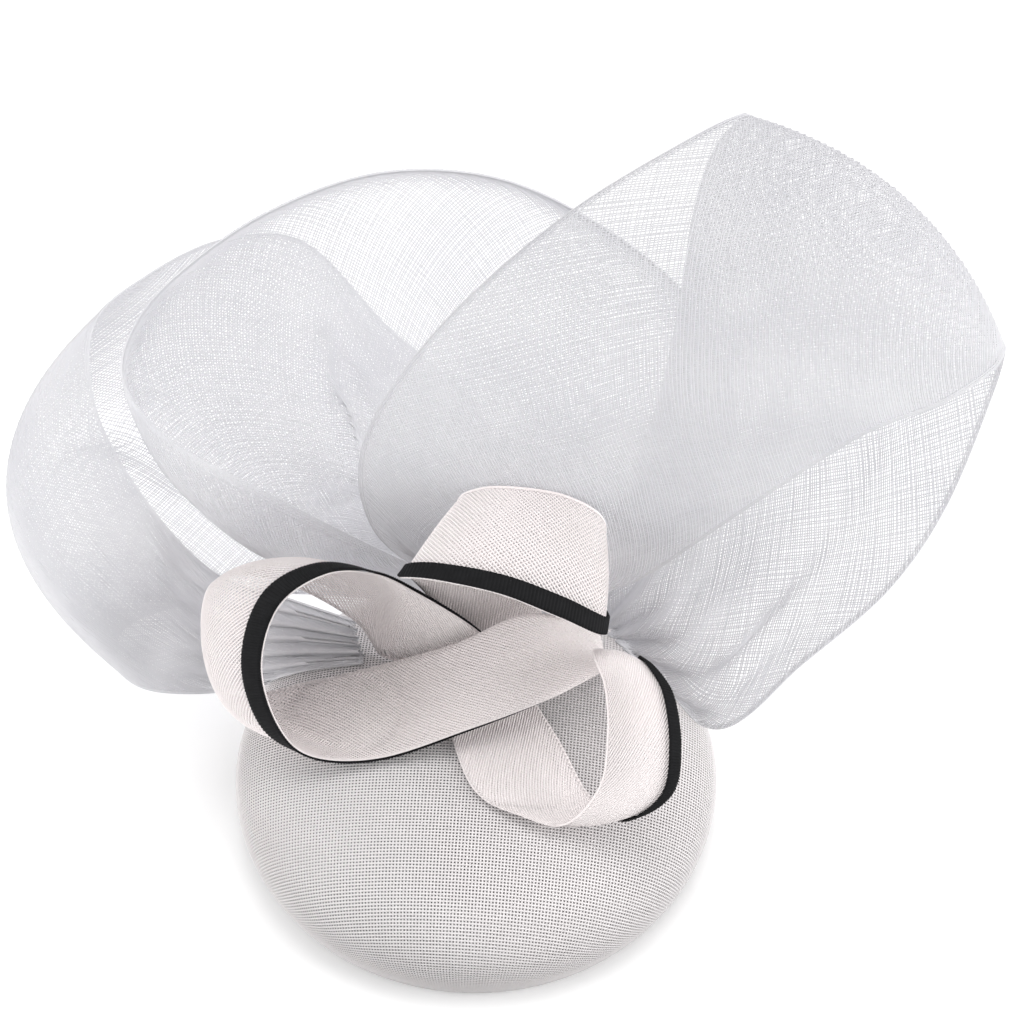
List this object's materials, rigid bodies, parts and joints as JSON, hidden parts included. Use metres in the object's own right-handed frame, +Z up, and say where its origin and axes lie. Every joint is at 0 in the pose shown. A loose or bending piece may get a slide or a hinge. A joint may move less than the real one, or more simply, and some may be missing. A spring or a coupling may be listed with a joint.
{
  "type": "fascinator",
  "caption": "Bridal hair fascinator: a hollow straw-weave base with wide looped crin mesh ribbons and a small straw-weave bow edged in black ribbon, on a comb.",
  "frame": {"origin": "the middle of the outer box in X and Y, at the height of the base's rim", "axes": "+Z up from the rim to the loops; -Y is the side the viewer sees, where the bow is; +X is the viewer's right, along the longest extent"},
  "size_m": [0.303, 0.2086, 0.1994],
  "materials": {
    "straw_weave": "matte",
    "crin_mesh": "satin",
    "black_grosgrain": "matte",
    "comb_plastic": "satin"
  },
  "bodies": {
    "root": {"base_cap": "straw_weave", "crin_loop_left": "crin_mesh", "crin_loop_middle": "crin_mesh", "crin_loop_right": "crin_mesh", "sinamay_loop_left": "straw_weave", "sinamay_loop_top": "straw_weave", "sinamay_loop_right": "straw_weave", "ribbon_edge_left": "black_grosgrain", "ribbon_edge_top": "black_grosgrain", "ribbon_edge_right": "black_grosgrain", "hair_comb": "comb_plastic"}
  },
  "joints": []
}
